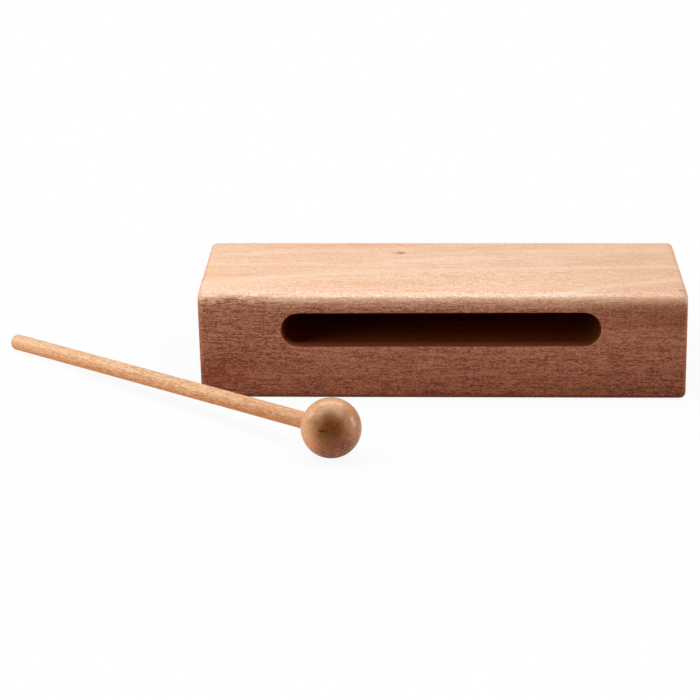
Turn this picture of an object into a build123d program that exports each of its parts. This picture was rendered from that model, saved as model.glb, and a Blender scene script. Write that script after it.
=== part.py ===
from build123d import *
import math
import os

# Slotted woodblock, with its loose ball-headed beater lying on the table beside it.
# Millimetres. The origin is the centre of the block's underside, +X runs along the block,
# the slot opens towards -Y and +Z is up. The table is the plane z = 0.

# Block: one piece of hardwood
BLOCK_LENGTH = 178.0
BLOCK_DEPTH = 68.0
BLOCK_HEIGHT = 40.5
TOP_EDGE_RADIUS = 5.0  # the two long top edges, rounded over for the beater
EASED_EDGE_RADIUS = 2.2  # the end edges and the long bottom edges, eased by sanding

# Resonance slot, milled into the front face
SLOT_HEIGHT = 12.7  # the cutter's diameter, which also rounds the slot's two ends
SLOT_END_WALL = 31.0  # wood left between each end of the slot and the end of the block
SLOT_OFFSET = -0.6  # the slot's middle, measured along the block from the block's middle
SLOT_BACK_WALL = 16.0  # wood left behind the slot
TONE_PLATE = 7.45  # wood left above the slot, which is struck to sound the block
SLOT_LIP_RADIUS = 0.5

# Beater head: a turned ball, drilled blind for the stick
HEAD_DIAMETER = 21.0
HEAD_NOSE_WALL = 3.4  # wood left between the drill point and the front of the ball
DRILL_POINT_ANGLE = 118.0
SOCKET_MOUTH_CHAMFER = 0.4

# Beater stick: a plain dowel, glued into the head
STICK_DIAMETER = 6.0
STICK_LENGTH = 175.0
STICK_BUTT_RADIUS = 1.2
STICK_TIP_CHAMFER = 0.6
GLUE_THICKNESS = 0.2

# Where the beater lies: the stick runs past the block's front left corner
STICK_HEADING = 138.7  # degrees from +X to the way from head to butt, seen from above
CORNER_CLEARANCE = 6.1  # from the side of the stick to that corner, in plan
HEAD_PAST_CORNER = 75.5  # from the corner to the head's middle, along the stick, in plan

# Sizes worked out from those above
slot_length = BLOCK_LENGTH - 2 * SLOT_END_WALL
slot_depth = BLOCK_DEPTH - SLOT_BACK_WALL
slot_middle_z = BLOCK_HEIGHT - TONE_PLATE - SLOT_HEIGHT / 2
top_edge_limit = TONE_PLATE - 2 * SLOT_LIP_RADIUS

head_radius = HEAD_DIAMETER / 2
stick_radius = STICK_DIAMETER / 2
socket_radius = stick_radius + GLUE_THICKNESS
socket_rim_radius = socket_radius + SOCKET_MOUTH_CHAMFER

# Places along the beater's own axis, from the head's middle towards the butt
drill_point_x = HEAD_NOSE_WALL - head_radius
socket_floor_x = drill_point_x + socket_radius / math.tan(math.radians(DRILL_POINT_ANGLE / 2))
socket_rim_x = math.sqrt(head_radius**2 - socket_rim_radius**2)
socket_mouth_x = socket_rim_x - SOCKET_MOUTH_CHAMFER
stick_butt_x = socket_floor_x + STICK_LENGTH


def block():
    """The block: a rounded section run along X, its ends eased, and the slot milled from the front."""
    with BuildPart() as body:
        with BuildSketch(Plane.YZ) as section:
            with Locations((0, BLOCK_HEIGHT / 2)):
                Rectangle(BLOCK_DEPTH, BLOCK_HEIGHT)
            top_corners = section.vertices().group_by(Axis.Y)[-1]
            fillet(top_corners, min(TOP_EDGE_RADIUS, top_edge_limit))
        extrude(amount=BLOCK_LENGTH / 2, both=True)
        end_edges = body.faces().filter_by(Axis.X).edges()
        bottom_edges = body.faces().sort_by(Axis.Z)[0].edges().filter_by(Axis.X)
        fillet(end_edges + bottom_edges, EASED_EDGE_RADIUS)

        slot_middle = (SLOT_OFFSET, -BLOCK_DEPTH / 2, slot_middle_z)
        with BuildSketch(Plane(slot_middle, x_dir=(1, 0, 0), z_dir=(0, -1, 0))):
            SlotOverall(slot_length, SLOT_HEIGHT)
        extrude(amount=-slot_depth, mode=Mode.SUBTRACT)
        lip = body.faces().sort_by(Axis.Y)[0].inner_wires()[0].edges()
        fillet(lip, SLOT_LIP_RADIUS)
    return body.part


def turned(outline, arc=None):
    """A solid turned about the X axis from an outline of (x, radius) points, after an arc if one is given."""
    with BuildPart() as solid:
        with BuildSketch(Plane.XY):
            with BuildLine():
                if arc:
                    ThreePointArc(*arc)
                Polyline(*outline, close=arc is None)
            make_face()
        revolve(axis=Axis.X)
    return solid.part


def beater_head():
    """The ball, with its blind socket, drill point and eased socket mouth."""
    nose = (-head_radius, 0)
    rim = (socket_rim_x, socket_rim_radius)
    outline = [
        rim,
        (socket_mouth_x, socket_radius),
        (socket_floor_x, socket_radius),
        (drill_point_x, 0),
        nose,
    ]
    return turned(outline, arc=(nose, (0, head_radius), rim))


def beater_stick():
    """The dowel: a chamfered tip that stops at the socket's floor, and a softened butt."""
    tip_radius = stick_radius - STICK_TIP_CHAMFER
    outline = [
        (socket_floor_x, 0),
        (socket_floor_x, tip_radius),
        (socket_floor_x + STICK_TIP_CHAMFER, stick_radius),
        (stick_butt_x, stick_radius),
        (stick_butt_x, 0),
    ]
    dowel = turned(outline)
    butt_edge = dowel.faces().sort_by(Axis.X)[-1].edges()
    return fillet(butt_edge, STICK_BUTT_RADIUS)


def beater_glue():
    """The set glue: a film between the dowel and the socket, with a plug in the drill point."""
    outline = [
        (drill_point_x, 0),
        (socket_floor_x, socket_radius),
        (socket_mouth_x, socket_radius),
        (socket_mouth_x, stick_radius),
        (socket_floor_x + STICK_TIP_CHAMFER, stick_radius),
        (socket_floor_x, stick_radius - STICK_TIP_CHAMFER),
        (socket_floor_x, 0),
    ]
    return turned(outline)


def beater_place():
    """Where the beater lies: head and butt both on the table, the stick clear of the block's corner."""
    # the butt's rounding touches the table, so the tilt follows from reach * sin + drop * cos = rise
    reach = stick_butt_x - STICK_BUTT_RADIUS
    drop = stick_radius - STICK_BUTT_RADIUS
    rise = head_radius - STICK_BUTT_RADIUS
    tilt = math.degrees(math.asin(rise / math.hypot(reach, drop)) - math.atan2(drop, reach))

    heading = math.radians(STICK_HEADING)
    along = Vector(math.cos(heading), math.sin(heading))
    away = Vector(-math.sin(heading), math.cos(heading))
    corner = Vector(-BLOCK_LENGTH / 2, -BLOCK_DEPTH / 2)
    passing = corner + away * (CORNER_CLEARANCE + stick_radius)
    head_middle = passing - along * HEAD_PAST_CORNER
    return Pos(head_middle.X, head_middle.Y, head_radius) * Rot(0, 0, STICK_HEADING) * Rot(0, tilt, 0)


place = beater_place()
pieces = {
    "block": block(),
    "beater_stick": place * beater_stick(),
    "beater_head": place * beater_head(),
    "beater_glue": place * beater_glue(),
}

os.makedirs("parts", exist_ok=True)
for name, piece in pieces.items():
    export_step(piece, f"parts/{name}.step")
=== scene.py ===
import math
import bmesh
import bpy
from mathutils import Euler, Matrix, Vector, noise


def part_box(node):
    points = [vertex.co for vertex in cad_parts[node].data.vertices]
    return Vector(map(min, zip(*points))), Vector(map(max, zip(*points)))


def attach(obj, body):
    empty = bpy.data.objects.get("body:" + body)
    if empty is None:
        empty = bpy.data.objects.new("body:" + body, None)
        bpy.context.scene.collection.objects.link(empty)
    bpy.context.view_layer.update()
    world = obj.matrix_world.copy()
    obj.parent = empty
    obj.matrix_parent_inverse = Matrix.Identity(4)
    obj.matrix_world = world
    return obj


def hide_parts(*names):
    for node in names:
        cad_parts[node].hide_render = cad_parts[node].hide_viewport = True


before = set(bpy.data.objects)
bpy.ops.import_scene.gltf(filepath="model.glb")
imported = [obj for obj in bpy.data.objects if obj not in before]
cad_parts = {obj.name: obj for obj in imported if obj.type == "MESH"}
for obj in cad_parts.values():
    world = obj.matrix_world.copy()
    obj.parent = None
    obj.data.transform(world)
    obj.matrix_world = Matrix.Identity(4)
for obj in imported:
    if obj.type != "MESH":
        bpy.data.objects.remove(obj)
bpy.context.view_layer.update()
scene = bpy.context.scene

# Block: one piece of hardwood, sawn square, its long top edges rounded over and the others eased with
# sandpaper. One long slot is milled into the front face. The outside is sealed with a thin satin lacquer.
block_low, block_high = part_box("block")
block_middle = (block_low + block_high) / 2
top_edge_radius = 0.0050
top_edge_steps = 10
eased_edge_radius = 0.0022
eased_edge_steps = 6
cut_spacing = 0.0025  # of the cuts across each face that let it be sanded a little out of true
same_place = 1e-6  # what lies closer than this counts as touching
front = block_low.y
rounding_y = front + top_edge_radius  # where the rounding of the front top edge meets the top
rounding_z = block_high.z - top_edge_radius  # and where it meets the front

slot_height = 0.0127
slot_end_wall = 0.0310
slot_offset = -0.0006
slot_depth = 0.0520
slot_steps = 14
slot_lip_radius = 0.0005
slot_lip_steps = 4
slot_lean = math.tan(math.radians(0.2))  # the slot runs very slightly uphill to the right
tone_plate = 0.00745  # wood left above the slot
slot_radius = slot_height / 2
slot_left = block_low.x + slot_end_wall + slot_offset + slot_radius
slot_right = block_high.x - slot_end_wall + slot_offset - slot_radius
slot_x = (slot_left + slot_right) / 2
slot_z = block_high.z - tone_plate - slot_radius


def lies_at(edge, axis, place):
    """Whether both ends of an edge lie at a place along an axis."""
    return all(abs(vertex.co[axis] - place) < same_place for vertex in edge.verts)


def runs_along_x(edge):
    """Whether an edge runs nearly the whole length of the block."""
    start, end = edge.verts
    return abs(start.co.x - end.co.x) > 0.9 * (block_high.x - block_low.x)


def round_edges(bm, edges, radius, steps):
    """Round edges over to a radius."""
    bmesh.ops.bevel(
        bm, geom=edges, offset=radius, affect="EDGES", segments=steps, profile=0.5, material=-1)


def from_slot_line(point):
    """The nearest point of the slot's middle line, as x, and the way from there to a point of the front."""
    nearest_x = min(max(point.x, slot_left), slot_right)
    return nearest_x, Vector((point.x - nearest_x, 0, point.z - slot_z))


def slot_outline(point, grow, depth):
    """The point of the slot's outline, grown by a margin and at a depth, that faces a point of its mouth."""
    nearest_x, spoke = from_slot_line(point)
    outline = Vector((nearest_x, front + depth, slot_z)) + spoke.normalized() * (slot_radius + grow)
    return outline + Vector((0, 0, (outline.x - slot_x) * slot_lean))


bm = bmesh.new()
brick = Matrix.Translation(block_middle) @ Matrix.Diagonal((*(block_high - block_low), 1))
bmesh.ops.create_cube(bm, size=1, matrix=brick)
over = [e for e in bm.edges if runs_along_x(e) and lies_at(e, 2, block_high.z)]
round_edges(bm, over, top_edge_radius, top_edge_steps)
ends = [e for e in bm.edges if lies_at(e, 0, block_low.x) or lies_at(e, 0, block_high.x)]
under = [e for e in bm.edges if runs_along_x(e) and lies_at(e, 2, block_low.z)]
round_edges(bm, ends + under, eased_edge_radius, eased_edge_steps)
for axis in range(3):
    span = block_high[axis] - block_low[axis] - 2 * top_edge_radius
    cuts = round(span / cut_spacing)
    across = Vector([float(axis == other) for other in range(3)])
    for cut in range(cuts + 1):
        place = block_middle + across * (span * (cut / cuts - 0.5))
        everything = bm.verts[:] + bm.edges[:] + bm.faces[:]
        bmesh.ops.bisect_plane(bm, geom=everything, plane_co=place, plane_no=across, dist=same_place)

# a mouth is opened in the front face, drawn in to the slot's outline, rolled over the lip and run back
mouth = []
for face in bm.faces:
    middle = face.calc_center_median()
    reach = from_slot_line(middle)[1].length
    if abs(middle.y - front) < same_place and reach < slot_radius + cut_spacing:
        mouth.append(face)
bmesh.ops.delete(bm, geom=mouth, context="FACES")
rim = [e for e in bm.edges if e.is_boundary]
outside = set(bm.verts)
sweep = []
for step in range(slot_lip_steps + 1):
    turn = math.radians(90) * step / slot_lip_steps
    sweep.append((slot_lip_radius * (1 - math.sin(turn)), slot_lip_radius * (1 - math.cos(turn))))
for step in range(1, slot_steps + 1):
    sweep.append((0, slot_lip_radius + (slot_depth - slot_lip_radius) * step / slot_steps))
for grow, depth in sweep:
    drawn = bmesh.ops.extrude_edge_only(bm, edges=rim)["geom"]
    rim = [part for part in drawn if isinstance(part, bmesh.types.BMEdge)]
    for part in drawn:
        if isinstance(part, bmesh.types.BMVert):
            part.co = slot_outline(part.co, grow, depth)
        if isinstance(part, bmesh.types.BMFace) and depth > slot_lip_radius / 2:
            part.material_index = 1
bmesh.ops.edgeloop_fill(bm, edges=rim, mat_nr=1)
bmesh.ops.recalc_face_normals(bm, faces=bm.faces)

# sanding: no face is quite true, the front top edge dips where the hand passed most, and both ends were
# sawn a little out of square
sanding_depth = 0.00014
sanding_wave = 0.040
edge_dip = 0.00030
edge_dip_start = 0.0310
edge_wave = 0.022
edge_wave_row = 5.0  # the row of the noise that the dips follow
left_end_lean = 0.0006
right_end_lean = 0.00035
lean_reach = 0.012
bm.normal_update()
for vertex in bm.verts:
    place = vertex.co.copy()
    if vertex in outside:
        hollow = 0.5 + 0.5 * noise.noise(place / sanding_wave)
        vertex.co -= vertex.normal * sanding_depth * hollow
    if place.y < rounding_y and place.z > edge_dip_start:
        passes = 0.5 + noise.noise(Vector((place.x / edge_wave, edge_wave_row, 0)))
        rise = min((place.z - edge_dip_start) / (rounding_z - edge_dip_start), 1)
        facing_front = min((rounding_y - place.y) / top_edge_radius, 1)
        vertex.co.y += edge_dip * max(passes, 0) * rise ** 2 * facing_front
    up = place.z / block_high.z
    near_left = max(1 - (place.x - block_low.x) / lean_reach, 0)
    near_right = max(1 - (block_high.x - place.x) / lean_reach, 0)
    vertex.co.x += near_left * left_end_lean * (1 - up) - near_right * right_end_lean * up
mesh = bpy.data.meshes.new("block_body")
bm.to_mesh(mesh)
bm.free()
mesh.shade_smooth()
mesh.set_sharp_from_angle(angle=math.radians(50))
block = bpy.data.objects.new("block_body", mesh)
scene.collection.objects.link(block)
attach(block, "block")
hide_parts("block")

millimetre = 0.001
smooth = {"interpolation_type": "SMOOTHSTEP"}  # the setting of a MapRange that eases in and out


def linear(hex_colour):
    """A written sRGB hex colour as the linear RGBA that a shader takes."""
    channels = [int(hex_colour[place:place + 2], 16) / 255 for place in (1, 3, 5)]
    return (*[c / 12.92 if c <= 0.04045 else ((c + 0.055) / 1.055) ** 2.4 for c in channels], 1)


def add(tree, kind, inputs=(), output=None, **settings):
    """Add one shader node with its settings and links, and return the output named or the first in use."""
    node = tree.nodes.new("ShaderNode" + kind)
    for name, value in settings.items():
        setattr(node, name, value)
    for name, value in dict(inputs).items():
        if isinstance(value, bpy.types.NodeSocket):
            tree.links.new(value, node.inputs[name])
        else:
            node.inputs[name].default_value = value
    if output:
        return node.outputs[output]
    return next((socket for socket in node.outputs if socket.enabled), node)


def new_material(name):
    """A new material with an empty node tree."""
    material = bpy.data.materials.new(name)
    material.use_nodes = True
    material.node_tree.nodes.clear()
    return material, material.node_tree


def in_millimetres(tree, middle, turn=(0, 0, 0)):
    """Millimetres from the middle of a piece, along axes with a turn of their own."""
    return add(tree, "Mapping", {
        "Vector": add(tree, "TexCoord", output="Object"),
        "Location": middle, "Rotation": turn, "Scale": (millimetre, millimetre, millimetre),
    }, vector_type="TEXTURE")


def figure(tree, grain, parts):
    """Noises added up about 0, each given as the size of its grains in millimetres and its weight."""
    total = -sum(weight for size, weight in parts) / 2
    for size, weight in parts:
        stretched = add(tree, "VectorMath", {0: grain, 1: [1 / side for side in size]}, operation="MULTIPLY")
        streaks = add(tree, "TexNoise", {
            "Vector": stretched, "Scale": 1.0, "Detail": 2.0, "Roughness": 0.55})
        total = add(tree, "Math", {0: streaks, 1: weight, 2: total}, operation="MULTIPLY_ADD")
    return total


def growth_layers(tree, grain, pith, spacing, wander):
    """Growth layers round a pith, in millimetres: from 0 in the early wood to 1 in the late wood."""
    offset = add(tree, "VectorMath", {0: grain, 1: pith}, operation="SUBTRACT")
    section = add(tree, "VectorMath", {0: offset, 1: (0, 1, 1)}, operation="MULTIPLY")
    radius = add(tree, "VectorMath", {0: section}, operation="LENGTH")
    drift = add(tree, "MapRange", {
        "Value": figure(tree, grain, [((110, 22, 22), 1.0)]),
        "From Min": -0.3, "From Max": 0.3, "To Min": -wander, "To Max": wander,
    }, **smooth)
    drifted = add(tree, "Math", {0: radius, 1: drift}, operation="ADD")
    count = add(tree, "Math", {0: drifted, 1: spacing}, operation="DIVIDE")
    layer = add(tree, "Math", {0: count}, operation="FRACT")
    cut_off = add(tree, "MapRange", {"Value": layer, "From Min": 1.0, "From Max": 0.88}, **smooth)
    return add(tree, "MapRange", {
        "Value": layer, "From Min": 0.1, "From Max": 0.85, "To Max": cut_off}, **smooth)


def behind_line(tree, along, across, wander, start, slope, bend):
    """How far behind a growth line a point lies, in millimetres. Left of its start the line also bends."""
    run = add(tree, "Math", {0: along, 1: start[0]}, operation="SUBTRACT")
    left = add(tree, "Math", {0: run, 1: 0.0}, operation="MINIMUM")
    bent = add(tree, "Math", {0: left, 1: bend}, operation="MULTIPLY")
    line = add(tree, "Math", {0: left, 1: bent, 2: start[1]}, operation="MULTIPLY_ADD")
    line = add(tree, "Math", {0: run, 1: slope, 2: line}, operation="MULTIPLY_ADD")
    behind = add(tree, "Math", {0: across, 1: line}, operation="SUBTRACT")
    return add(tree, "Math", {0: behind, 1: wander}, operation="ADD")


def beside_line(tree, distance, half_width, most):
    """How strongly a growth line shows at a distance from it, in millimetres: most on the line itself."""
    either_side = add(tree, "Math", {0: distance}, operation="ABSOLUTE")
    return add(tree, "MapRange", {
        "Value": either_side, "From Min": half_width, "From Max": 0.0, "To Max": most}, **smooth)


def mark(tree, plain, place, size, most):
    """A soft spot, most at a place in a piece and 0 beyond its half-sizes, all in millimetres."""
    offset = add(tree, "VectorMath", {0: plain, 1: place}, operation="SUBTRACT")
    reach = add(tree, "VectorMath", {0: offset, 1: [1 / side for side in size]}, operation="MULTIPLY")
    distance = add(tree, "VectorMath", {0: reach}, operation="LENGTH")
    return add(tree, "MapRange", {
        "Value": distance, "From Min": 1.0, "From Max": 0.2, "To Max": most}, **smooth)


def stain(tree, wood, colour, plain, place, size, most):
    """Wood with a soft spot of another colour in it."""
    amount = mark(tree, plain, place, size, most)
    return add(tree, "Mix", {"Factor": amount, "A": wood, "B": colour}, data_type="RGBA")


def shade(tree, wood, colour, value, low, high, most=1.0):
    """Wood that shades into another colour, from none of it at a low value to most of it at a high one."""
    amount = add(tree, "MapRange", {
        "Value": value, "From Min": low, "From Max": high, "To Max": most}, **smooth)
    return add(tree, "Mix", {"Factor": amount, "A": wood, "B": colour}, data_type="RGBA")


# sanded, lacquered hardwood: pale sapwood with two paler growth lines, over redder heartwood that is
# darker towards the bottom. The pale sapwood on the top and the rounded top edges is partly the wood's
# colour and partly painted light, and the darkening towards the bottom is painted shade. Fibres and pores
# run through the solid, drawn coarser than real so that they show at this distance. The film is matt on
# the faces and shines on the long top edges, which hands polish.
lit_sap_pale = linear("#ECC9AE")
lit_sap_dark = linear("#D6A582")
sap_line = linear("#E7C8AF")
heart_pale = linear("#D3A58F")
heart_dark = linear("#824B39")
shaded_low_pale = linear("#B8826D")
shaded_low_dark = linear("#66382C")
red_streak = linear("#8F4526")
knot_halo = linear("#DD9A70")
knot_brown = linear("#9A6430")
painted_contact_shade = linear("#4A2A1C")
end_pale = linear("#B9784C")
end_dark = linear("#874A2A")
material, tree = new_material("satin_lacquered_hardwood")
plain = in_millimetres(tree, block_middle)
fibre_run = in_millimetres(tree, block_middle, (0, math.radians(1.5), math.radians(2)))
band_run = in_millimetres(tree, block_middle, (0, math.radians(4), math.radians(7)))
along, across, upper = add(tree, "SeparateXYZ", {"Vector": plain}).node.outputs

# the figure, from broad to fine: growth bands, bundles of fibres, then single fibres and pores
bands = figure(tree, band_run, [((110, 14, 10), 0.9)])
broad = figure(tree, fibre_run, [((60, 3.6, 2.6), 0.8), ((16, 1.5, 1.1), 0.6)])
fine = figure(tree, fibre_run, [
    ((24, 0.55, 0.5), 1.1), ((6, 0.6, 0.5), 1.4), ((2.0, 0.55, 0.5), 1.9), ((0.8, 0.5, 0.45), 2.8)])
coarse = add(tree, "Math", {0: broad, 1: 0.6, 2: bands}, operation="MULTIPLY_ADD")
grain = add(tree, "Math", {0: broad, 1: fine}, operation="ADD")

# sapwood: its fibres are fainter behind the long growth line, and before it the wood reddens to the right
frayed = add(tree, "Math", {0: fine, 1: 0.8}, operation="MULTIPLY")
wander = add(tree, "Math", {0: broad, 1: 4.0, 2: frayed}, operation="MULTIPLY_ADD")
long_line = behind_line(tree, along, across, wander, (-10, -5.5), 0.05, -0.0021)
short_line = behind_line(tree, along, across, wander, (80, -18.5), 0.22, -0.0043)
before = add(tree, "MapRange", {"Value": long_line, "From Min": 0.0, "From Max": -4.0}, **smooth)
strength = add(tree, "MapRange", {"Value": before, "To Min": 0.42, "To Max": 1.1}, **smooth)
sap_figure = add(tree, "Math", {0: fine, 1: strength, 2: coarse}, operation="MULTIPLY_ADD")
lit_sapwood = shade(tree, lit_sap_pale, lit_sap_dark, sap_figure, -0.42, 0.42)
reddening = add(tree, "Math", {0: before, 1: 0.4}, operation="MULTIPLY")
lit_sapwood = shade(tree, lit_sapwood, lit_sap_dark, along, 20, 85, reddening)

# the growth lines: the long one is widest at the left, and the short one only crosses the right end. The
# front left corner is pale like them, and the fibres break all three up
narrowing = add(tree, "MapRange", {
    "Value": along, "From Min": -70, "From Max": 60, "To Min": 0.7, "To Max": 1.6}, **smooth)
narrowed = add(tree, "Math", {0: long_line, 1: narrowing}, operation="MULTIPLY")
long_shows = beside_line(tree, narrowed, 4.5, 0.85)
at_right = add(tree, "MapRange", {"Value": along, "From Min": 38, "From Max": 50, "To Max": 0.85}, **smooth)
short_shows = beside_line(tree, short_line, 3.4, at_right)
corner_shows = mark(tree, plain, (-88, -23, 20), (36, 15, 12), 0.55)
shows = add(tree, "Math", {0: long_shows, 1: short_shows}, operation="MAXIMUM")
shows = add(tree, "Math", {0: shows, 1: corner_shows}, operation="MAXIMUM")
broken = add(tree, "MapRange", {
    "Value": fine, "From Min": -0.7, "From Max": 0.7, "To Min": 1.0, "To Max": 0.5}, **smooth)
shows = add(tree, "Math", {0: shows, 1: broken}, operation="MULTIPLY")
lit_sapwood = add(tree, "Mix", {"Factor": shows, "A": lit_sapwood, "B": sap_line}, data_type="RGBA")

# heartwood, darker towards the bottom in painted shade, with the sapwood over it, which is partly
# painted light on the top
heart = shade(tree, heart_pale, heart_dark, grain, -0.9, 0.9)
low = shade(tree, shaded_low_pale, shaded_low_dark, grain, -0.9, 0.9)
level = add(tree, "Math", {0: broad, 1: 5.0, 2: upper}, operation="MULTIPLY_ADD")
wood = shade(tree, heart, low, level, 6, -20)
wood = shade(tree, wood, lit_sapwood, level, 13.6, 18.5)

# marks on the top: a small knot in its halo, and a spot of resin by the right end
half_length, half_depth, half_height = (block_high - block_low) / 2 / millimetre
wood = stain(tree, wood, knot_halo, plain, (-16.5, 16.2, half_height), (4.5, 3.4, 4.0), 0.5)
wood = stain(tree, wood, knot_brown, plain, (-15.6, 16.9, half_height), (2.6, 1.7, 3.0), 0.85)
wood = stain(tree, wood, red_streak, plain, (86.2, -29.2, half_height), (1.6, 0.8, 2.0), 0.7)

# marks on the front: a torn fibre by the slot, a red patch low at the left, dark streaks along the left top
# edge and a darker top right corner, which is painted shade where the light falls off to the right
wood = stain(tree, wood, red_streak, plain, (59.1, -half_depth, 9.7), (1.4, 1.5, 0.6), 0.7)
in_grain = add(tree, "MapRange", {
    "Value": grain, "From Min": -0.5, "From Max": 0.5, "To Min": 0.1, "To Max": 0.65}, **smooth)
wood = stain(tree, wood, red_streak, plain, (-81, -half_depth, -8.5), (20, 8, 9), in_grain)
in_streaks = add(tree, "MapRange", {
    "Value": figure(tree, fibre_run, [((4, 0.7, 0.6), 1.4), ((1.2, 0.5, 0.5), 1.2)]),
    "From Min": -0.2, "From Max": 0.35, "To Min": 0.1, "To Max": 1.0,
}, **smooth)
wood = stain(tree, wood, red_streak, plain, (-76, -half_depth, 17.0), (26, 6, 3.8), in_streaks)
# painted shade: the top right of the front is darkened where the light falls off
wood = stain(tree, wood, heart_dark, plain, (80, -half_depth, 11), (34, 6, 9), 0.36)

# end grain: growth rings and pores, which soak up lacquer and go darker, most of all in the heartwood
end_starts = half_length - 1.6
end_whole = half_length - 0.4
away = add(tree, "VectorMath", {0: plain}, operation="ABSOLUTE")
to_end, to_side = add(tree, "SeparateXYZ", {"Vector": away}).node.outputs[:2]
rings = growth_layers(tree, plain, (0, 14, -70), 3.4, 0.9)
pores = figure(tree, plain, [((0.9, 0.9, 0.9), 1.8), ((6, 3, 8), 0.9)])
end_figure = add(tree, "Math", {0: rings, 1: pores}, operation="ADD")
end_wood = shade(tree, end_pale, end_dark, end_figure, -0.6, 1.5)
soaked = add(tree, "MapRange", {
    "Value": level, "From Min": 19, "From Max": 11, "To Min": 0.4, "To Max": 0.8}, **smooth)
wood = shade(tree, wood, end_wood, to_end, end_starts, end_whole, soaked)
# painted contact shade: the wood goes darker along the bottom edge, where it meets the table
wood = shade(tree, wood, painted_contact_shade, upper, 2.4 - half_height, 0.3 - half_height, 0.7)

# the film: thinner on the ends and on the top, which is struck, and polished along the long top edges, most
# of all in their middle
handled = add(tree, "MapRange", {
    "Value": to_end, "From Min": 35, "From Max": 65, "To Min": 1.0, "To Max": 0.5}, **smooth)
near_top = add(tree, "MapRange", {
    "Value": upper, "From Min": 13.5, "From Max": 17.0, "To Max": handled}, **smooth)
polish = add(tree, "MapRange", {
    "Value": to_side, "From Min": 30.0, "From Max": 32.2, "To Max": near_top}, **smooth)
film = add(tree, "MapRange", {
    "Value": to_end, "From Min": end_starts, "From Max": end_whole, "To Min": 0.12, "To Max": 0.05,
}, **smooth)
struck = add(tree, "MapRange", {
    "Value": upper, "From Min": 16.0, "From Max": 19.5, "To Min": 1.0, "To Max": 0.35}, **smooth)
polished = add(tree, "Math", {0: polish, 1: 0.9}, operation="MULTIPLY")
lacquer = add(tree, "BsdfPrincipled", {
    "Base Color": wood, "IOR": 1.45, "Specular IOR Level": 0.08,
    "Roughness": add(tree, "MapRange", {"Value": polish, "To Min": 0.5, "To Max": 0.35}, **smooth),
    "Normal": add(tree, "Bump", {"Strength": 0.35, "Distance": 0.08 * millimetre, "Height": fine}),
    "Coat Weight": add(tree, "Math", {0: film, 1: struck, 2: polished}, operation="MULTIPLY_ADD"),
    "Coat Roughness": 0.24, "Coat IOR": 1.65,
})
add(tree, "OutputMaterial", {"Surface": lacquer})
block.data.materials.append(material)

# bare milled wood: the slot is left as the cutter made it, without lacquer, so it is dull, darker and redder
# than the faces, with faint ridges along each pass. It is burnt darkest at the mouth and at the right end.
milled_pale = linear("#B6663A")
milled_dark = linear("#78401F")
burnt_brown = linear("#5F2B11")
material, tree = new_material("bare_milled_hardwood")
fibre_run = in_millimetres(tree, block_middle, (0, math.radians(1.5), math.radians(1.5)))
milled = figure(tree, fibre_run, [((20, 1.0, 1.0), 1.0), ((3, 0.7, 0.6), 1.0), ((60, 0.8, 12), 0.8)])
inside = in_millimetres(tree, (slot_x, front, slot_z))
run, depth = add(tree, "SeparateXYZ", {"Vector": inside}).node.outputs[:2]
half_run = (slot_right - slot_left) / 2 / millimetre
wood = shade(tree, milled_pale, milled_dark, milled, -0.5, 0.5)
wood = shade(tree, wood, burnt_brown, depth, 9, 1, 0.75)
# painted light: the left end of the slot is paler, where the lamps on the left leave it in shade
wood = shade(tree, wood, milled_pale, run, 4 - half_run, -5 - half_run, 0.4)
wood = shade(tree, wood, burnt_brown, run, half_run - 2, half_run + 5, 0.7)
bare = add(tree, "BsdfPrincipled", {
    "Base Color": wood, "Roughness": 0.85, "IOR": 1.45, "Specular IOR Level": 0.1,
    "Normal": add(tree, "Bump", {"Strength": 0.5, "Distance": 0.10 * millimetre, "Height": milled}),
})
add(tree, "OutputMaterial", {"Surface": bare})
block.data.materials.append(material)

# Beater stick: a plain 6 mm dowel of pale, straight-grained hardwood, milled round, cut to length and
# softened at the butt. Its other end is glued into the head.
head_low, head_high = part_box("beater_head")
head_middle = (head_low + head_high) / 2
head_radius = (head_high.z - head_low.z) / 2
stick_radius = 0.0060 / 2
stick_length = 0.175
stick_steps = 60
stick_sides = 48
stick_butt_radius = 0.0012
stick_butt_steps = 6
stick_tip_chamfer = 0.0006
stick_heading = math.radians(138.7)
seam = 1e-7  # points of a turned piece that lie closer than this are one point
glue_thickness = 0.0002
head_nose_wall = 0.0034
drill_point_angle = math.radians(118)
socket_radius = stick_radius + glue_thickness
drill_point_x = head_nose_wall - head_radius
socket_floor_x = drill_point_x + socket_radius / math.tan(drill_point_angle / 2)
stick_butt_x = socket_floor_x + stick_length

# head and butt both rest on the table, which gives the stick its tilt
butt_reach = stick_butt_x - stick_butt_radius
butt_drop = stick_radius - stick_butt_radius
butt_rise = head_radius - stick_butt_radius
stick_tilt = math.asin(butt_rise / math.hypot(butt_reach, butt_drop)) - math.atan2(butt_drop, butt_reach)
beater_turn = (0, stick_tilt, stick_heading)
beater_place = Matrix.LocRotScale(head_middle, Euler(beater_turn), None)


def turned(name, outline, sides):
    """A piece turned about the beater's axis from an outline of (along, radius) points."""
    bm = bmesh.new()
    points = [bm.verts.new((along, radius, 0)) for along, radius in outline]
    lines = [bm.edges.new(pair) for pair in zip(points, points[1:])]
    bmesh.ops.spin(
        bm, geom=points + lines, axis=(1, 0, 0), cent=(0, 0, 0), angle=math.tau, steps=sides, use_merge=True)
    bmesh.ops.remove_doubles(bm, verts=bm.verts, dist=seam)
    bmesh.ops.recalc_face_normals(bm, faces=bm.faces)
    bmesh.ops.transform(bm, matrix=beater_place, verts=bm.verts)
    mesh = bpy.data.meshes.new(name)
    bm.to_mesh(mesh)
    bm.free()
    mesh.shade_smooth()
    mesh.set_sharp_from_angle(angle=math.radians(40))
    piece = bpy.data.objects.new(name, mesh)
    scene.collection.objects.link(piece)
    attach(piece, "beater")
    return piece


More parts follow.
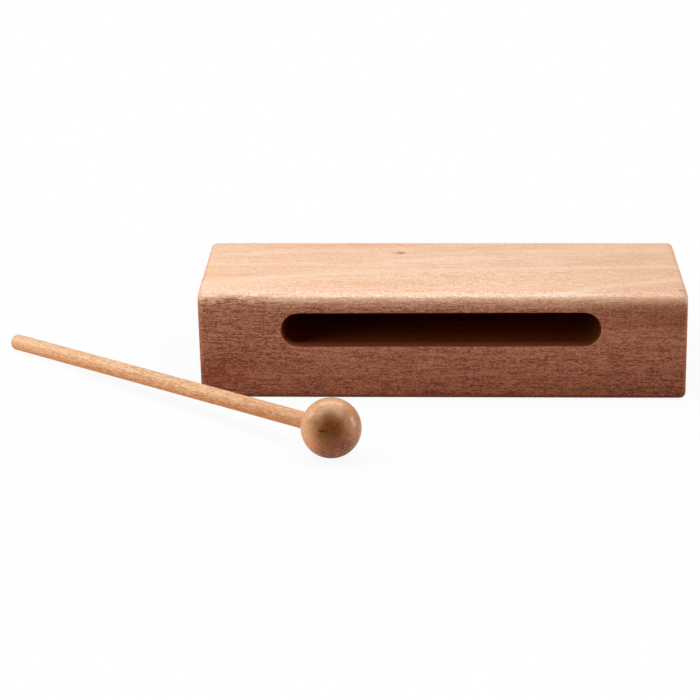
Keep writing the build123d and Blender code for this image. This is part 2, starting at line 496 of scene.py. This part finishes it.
shank_start = socket_floor_x + stick_tip_chamfer
shank = butt_reach - shank_start
outline = [(socket_floor_x, 0), (socket_floor_x, stick_radius - stick_tip_chamfer)]
outline += [(shank_start + shank * step / stick_steps, stick_radius) for step in range(stick_steps + 1)]
for step in range(1, stick_butt_steps + 1):
    turn = math.radians(90) * step / stick_butt_steps
    outline.append((
        butt_reach + stick_butt_radius * math.sin(turn),
        butt_drop + stick_butt_radius * math.cos(turn)))
outline.append((stick_butt_x, 0))
stick = turned("stick_dowel", outline, stick_sides)
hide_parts("beater_stick")

# sanded dowel: pale and close-grained, with fine flecks along it. It is only sealed, so its sheen is faint.
# The end grain at the butt takes up more sealer and goes darker, and the dowel darkens a little to the head.
dowel_pale = linear("#E4C19D")
dowel_dark = linear("#BF8556")
dowel_soaked = linear("#C07E4E")
butt_starts = butt_reach / millimetre - 1.0
butt_whole = stick_butt_x / millimetre
material, tree = new_material("sanded_pale_dowel")
fibre_run = in_millimetres(tree, head_middle, beater_turn)
fleck = figure(tree, fibre_run, [((40, 1.4, 1.4), 0.6), ((8, 0.6, 0.6), 0.9), ((1.8, 0.45, 0.45), 2.3)])
from_head = add(tree, "SeparateXYZ", {"Vector": fibre_run}, output="X")
wood = shade(tree, dowel_pale, dowel_dark, fleck, -0.6, 0.6)
wood = shade(tree, wood, dowel_soaked, from_head, butt_starts, butt_whole, 0.8)
wood = shade(tree, wood, dowel_soaked, from_head, 70, 10, 0.25)
wood = shade(tree, wood, dowel_pale, from_head, 110, 165, 0.35)
dowel = add(tree, "BsdfPrincipled", {
    "Base Color": wood, "Roughness": 0.55, "IOR": 1.45, "Specular IOR Level": 0.1,
    "Normal": add(tree, "Bump", {"Strength": 0.3, "Distance": 0.06 * millimetre, "Height": fleck}),
    "Coat Weight": 0.15, "Coat Roughness": 0.3,
})
add(tree, "OutputMaterial", {"Surface": dowel})
stick.data.materials.append(material)

# Beater head: a hardwood ball turned on a bead lathe, drilled blind for the dowel, and given a clear gloss
# lacquer. Its grain runs along the stick.
ball_steps = 48
ball_sides = 96
socket_mouth_chamfer = 0.0004
socket_rim_radius = socket_radius + socket_mouth_chamfer
socket_rim_x = math.sqrt(head_radius ** 2 - socket_rim_radius ** 2)
socket_mouth_x = socket_rim_x - socket_mouth_chamfer
rim_turn = math.atan2(socket_rim_radius, socket_rim_x)
outline = []
for step in range(ball_steps + 1):
    turn = math.pi + (rim_turn - math.pi) * step / ball_steps
    outline.append((head_radius * math.cos(turn), max(head_radius * math.sin(turn), 0)))
outline += [(socket_mouth_x, socket_radius), (socket_floor_x, socket_radius), (drill_point_x, 0)]
head = turned("head_ball", outline, ball_sides)
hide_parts("beater_head")

# gloss-lacquered ball: golden outer wood round a dark core that comes out on the front, browner below and
# speckled with pores, which are drawn coarser than real. The lacquer gives small soft highlights. The dark
# core on the front and the brown below are partly the wood's colour and partly painted shade, the browner
# right side and foot are painted shade, and the pale left side is painted light.
ball_pale = linear("#E4B48C")
ball_dark = linear("#C49168")
lit_side_pale = linear("#EBC4A4")
amber_pale = linear("#D79D68")
amber_dark = linear("#B07440")
shaded_brown_pale = linear("#C3937C")
shaded_brown_dark = linear("#754F3D")
shaded_core_pale = linear("#8E5C28")
shaded_core_dark = linear("#5F350F")
check_brown = linear("#3E2412")
material, tree = new_material("gloss_lacquered_ball")
plain = in_millimetres(tree, head_middle)
fibre_run = in_millimetres(tree, head_middle, beater_turn)
height = add(tree, "SeparateXYZ", {"Vector": plain}, output="Z")
speckle = figure(tree, fibre_run, [((5, 1.2, 1.2), 0.9), ((1.6, 0.7, 0.7), 1.9), ((0.7, 0.6, 0.6), 3.2)])
outer = shade(tree, ball_pale, ball_dark, speckle, -0.6, 0.6)
painted_lit_side = shade(tree, lit_side_pale, ball_pale, speckle, -0.6, 0.6)
amber = shade(tree, amber_pale, amber_dark, speckle, -0.6, 0.6)
shaded_brown = shade(tree, shaded_brown_pale, shaded_brown_dark, speckle, -0.6, 0.6)
shaded_core = shade(tree, shaded_core_pale, shaded_core_dark, speckle, -0.6, 0.6)

# the layers of the ball: amber on top, brown below, partly painted shade, amber above the core, and the
# core with a ragged edge, partly painted shade on the front, which faces the dark side of the room
outer = shade(tree, outer, amber_pale, height, 3, 9, 0.4)
from_below = add(tree, "VectorMath", {0: plain, 1: (2.8, -6.2, -7.6)}, operation="DISTANCE")
# partly painted shade: the wood is browner below, where less light falls
wood = shade(tree, outer, shaded_brown, from_below, 12.0, 4.5)
from_above = add(tree, "VectorMath", {0: plain, 1: (-0.4, -7.6, 7.2)}, operation="DISTANCE")
wood = shade(tree, wood, amber, from_above, 6.5, 1.5, 0.7)
# partly painted shade: the dark core lies on the front, which faces the dark side of the room
narrowed = add(tree, "VectorMath", {0: plain, 1: (1.15, 1, 1)}, operation="MULTIPLY")
from_shaded_core = add(tree, "VectorMath", {0: narrowed, 1: (-0.1, -9.8, 3.5)}, operation="DISTANCE")
mottle = figure(tree, fibre_run, [((4, 2.4, 2.4), 6.0)])
mottled = add(tree, "Math", {0: from_shaded_core, 1: mottle}, operation="ADD")
ragged = add(tree, "Math", {0: speckle, 1: 2.2, 2: mottled}, operation="MULTIPLY_ADD")
wood = shade(tree, wood, shaded_core, ragged, 11.0, 1.5)

# marks: a smudge by the stick, amber at the right shoulder and on the cap, a paler left side that is
# painted light, a browner right side and foot that are painted shade, and a short check in the core
wood = stain(tree, wood, shaded_core_pale, plain, (-6.8, -5.9, 5.5), (3.6, 3.6, 2.6), 0.3)
wood = stain(tree, wood, amber_dark, plain, (7.2, -3.8, 6.6), (7, 7, 6), 0.42)
wood = stain(tree, wood, amber_dark, plain, (-2.5, 0.5, 10.0), (9, 5, 3.5), 0.3)
# painted light: the lower left side is paler, where the lamps on the left light it
wood = stain(tree, wood, painted_lit_side, plain, (-8.2, -6.4, -1.2), (5.5, 5.5, 5.5), 0.5)
# painted shade: a browner right side and a darker foot, where the ball meets the table
wood = stain(tree, wood, shaded_brown, plain, (10.2, -3.0, 0), (4.5, 7, 7), 0.5)
wood = shade(tree, wood, shaded_brown_dark, height, -7.8, -10.2, 0.5)
wood = stain(tree, wood, check_brown, plain, (-2.8, -9.8, 2.5), (2.0, 1.6, 0.55), 0.8)
gloss = add(tree, "BsdfPrincipled", {
    "Base Color": wood, "Roughness": 0.5, "IOR": 1.45, "Specular IOR Level": 0.1,
    "Normal": add(tree, "Bump", {"Strength": 0.1, "Distance": 0.05 * millimetre, "Height": speckle}),
    "Coat Weight": 0.55, "Coat Roughness": 0.23,
})
add(tree, "OutputMaterial", {"Surface": gloss})
head.data.materials.append(material)

# Glue: the thin film of wood glue that holds the dowel in the ball, pressed out to the socket's mouth when
# the two were pushed together. Set, it is amber and a little glossy, and only its edge shows.
glue_pale = linear("#D8C08C")
glue_dark = linear("#B8935A")
material, tree = new_material("set_wood_glue")
mottle = figure(tree, in_millimetres(tree, head_middle, beater_turn), [((0.6, 0.6, 0.6), 1.0)])
amber = shade(tree, glue_pale, glue_dark, mottle, -0.2, 0.2)
set_film = add(tree, "BsdfPrincipled", {"Base Color": amber, "Roughness": 0.35, "IOR": 1.47})
add(tree, "OutputMaterial", {"Surface": set_film})
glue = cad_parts["beater_glue"]
glue.data.materials.clear()
glue.data.materials.append(material)

# Table: a plain white paper sweep under the set, which keeps a soft shadow. Seen, it is white. In gloss it
# is dimmer, so that the ball has no white rim, and the light that it throws back on to the wood is warm.
table_size = 6.0
table_in_gloss = 0.45
paper_white = linear("#E6E6E6")
bounce_colour = linear("#E1AD82")
white = (1, 1, 1, 1)
bm = bmesh.new()
bmesh.ops.create_grid(bm, x_segments=1, y_segments=1, size=table_size / 2)
mesh = bpy.data.meshes.new("table")
bm.to_mesh(mesh)
bm.free()
table = bpy.data.objects.new("table", mesh)
scene.collection.objects.link(table)


def seen_directly(tree, in_gloss):
    """1 for what the camera sees straight or through glass, in_gloss for gloss and 0 for bounced light."""
    rays = add(tree, "LightPath").node.outputs
    straight = add(tree, "Math", {
        0: rays["Is Camera Ray"], 1: rays["Is Transmission Ray"]}, operation="MAXIMUM")
    mirrored = add(tree, "Math", {0: rays["Is Glossy Ray"], 1: in_gloss}, operation="MULTIPLY")
    return add(tree, "Math", {0: straight, 1: mirrored}, operation="MAXIMUM")


# matt paper: it shines by itself to white, less so near the set, where the lamps light it and shadows show
material, tree = new_material("matt_white_paper")
seen = seen_directly(tree, table_in_gloss)
from_set = add(tree, "VectorMath", {0: in_millimetres(tree, (-0.03, -0.02, 0))}, operation="LENGTH")
shine = add(tree, "MapRange", {
    "Value": from_set, "From Min": 90, "From Max": 240, "To Min": 0.92, "To Max": 1.0}, **smooth)
paper = add(tree, "Mix", {"Factor": seen, "A": bounce_colour, "B": paper_white}, data_type="RGBA")
surface = add(tree, "MixShader", {
    "Fac": add(tree, "Math", {0: seen, 1: shine}, operation="MULTIPLY"),
    1: add(tree, "BsdfDiffuse", {"Color": paper}),
    2: add(tree, "Emission", {"Color": white, "Strength": 1.0}),
})
add(tree, "OutputMaterial", {"Surface": surface})
table.data.materials.append(material)

# Studio: a white room that lights nothing by itself and is dim in gloss behind the camera. It has a wide
# panel overhead, a large fill and a small box on the left, and a small box over a low wall on the right. The
# lacquer doesn't show the fill, and the strip at the back shows in the lacquer alone.
world = bpy.data.worlds.new("room")
scene.world = world
world.use_nodes = True
tree = world.node_tree
tree.nodes.clear()
towards_back = add(tree, "SeparateXYZ", {"Vector": add(tree, "TexCoord", output="Generated")}, output="Y")
walls_in_gloss = add(tree, "MapRange", {
    "Value": towards_back, "From Min": -0.7, "From Max": -0.1, "To Min": 0.1, "To Max": 0.6}, **smooth)
room = add(tree, "MixShader", {
    "Fac": seen_directly(tree, walls_in_gloss),
    1: add(tree, "Background", {"Color": white, "Strength": 0.0}),
    2: add(tree, "Background", {"Color": white, "Strength": 1.0}),
})
add(tree, "OutputWorld", {"Surface": room})


def softbox(name, place, aim, width, height, power):
    """A rectangular white studio lamp at a place, aimed at a point."""
    lamp = bpy.data.lights.new(name, "AREA")
    lamp.shape = "RECTANGLE"
    lamp.size = width
    lamp.size_y = height
    lamp.energy = power
    holder = bpy.data.objects.new(name, lamp)
    holder.location = place
    holder.rotation_euler = (Vector(aim) - Vector(place)).to_track_quat("-Z", "Y").to_euler()
    holder.visible_camera = False
    scene.collection.objects.link(holder)
    return holder


by_ball = (-0.03, -0.09, 0.02)
softbox("ceiling", (-0.04, -0.06, 0.36), aim=(-0.04, -0.06, 0.0), width=0.56, height=0.26, power=1.65)
fill = softbox(
    "left_fill", (-0.50, -0.22, 0.22), aim=(-0.05, -0.06, 0.02), width=0.40, height=0.36, power=1.08)
fill.visible_glossy = False
softbox("left_box", (-0.44, 0.08, 0.20), aim=(-0.03, -0.06, 0.02), width=0.16, height=0.16, power=0.48)
softbox("right_box", (0.41, 0.03, 0.186), aim=by_ball, width=0.04, height=0.05, power=0.14)
softbox("right_wall", (0.41, 0.0, 0.10), aim=by_ball, width=0.16, height=0.20, power=0.42)
strip = softbox(
    "back_strip", (-0.04, 0.21, 0.36), aim=(-0.04, -0.09, 0.02), width=0.40, height=0.14, power=0.90)
strip.visible_diffuse = False

# Camera: at the photograph's place, with a long lens, a little above the set.
camera_place = Vector((-0.003981, -0.863057, 0.308602))
camera_pitch = math.radians(70.7558)
camera_roll = math.radians(0.5418)
camera_heading = math.radians(1.8542)
lens = bpy.data.cameras.new("camera")
lens.sensor_width = 36
lens.lens = 124.13
camera = bpy.data.objects.new("camera", lens)
camera_turn = Euler((camera_pitch, camera_roll, camera_heading))
camera.matrix_world = Matrix.LocRotScale(camera_place, camera_turn, None)
scene.collection.objects.link(camera)
scene.camera = camera
scene.view_settings.view_transform = "Standard"
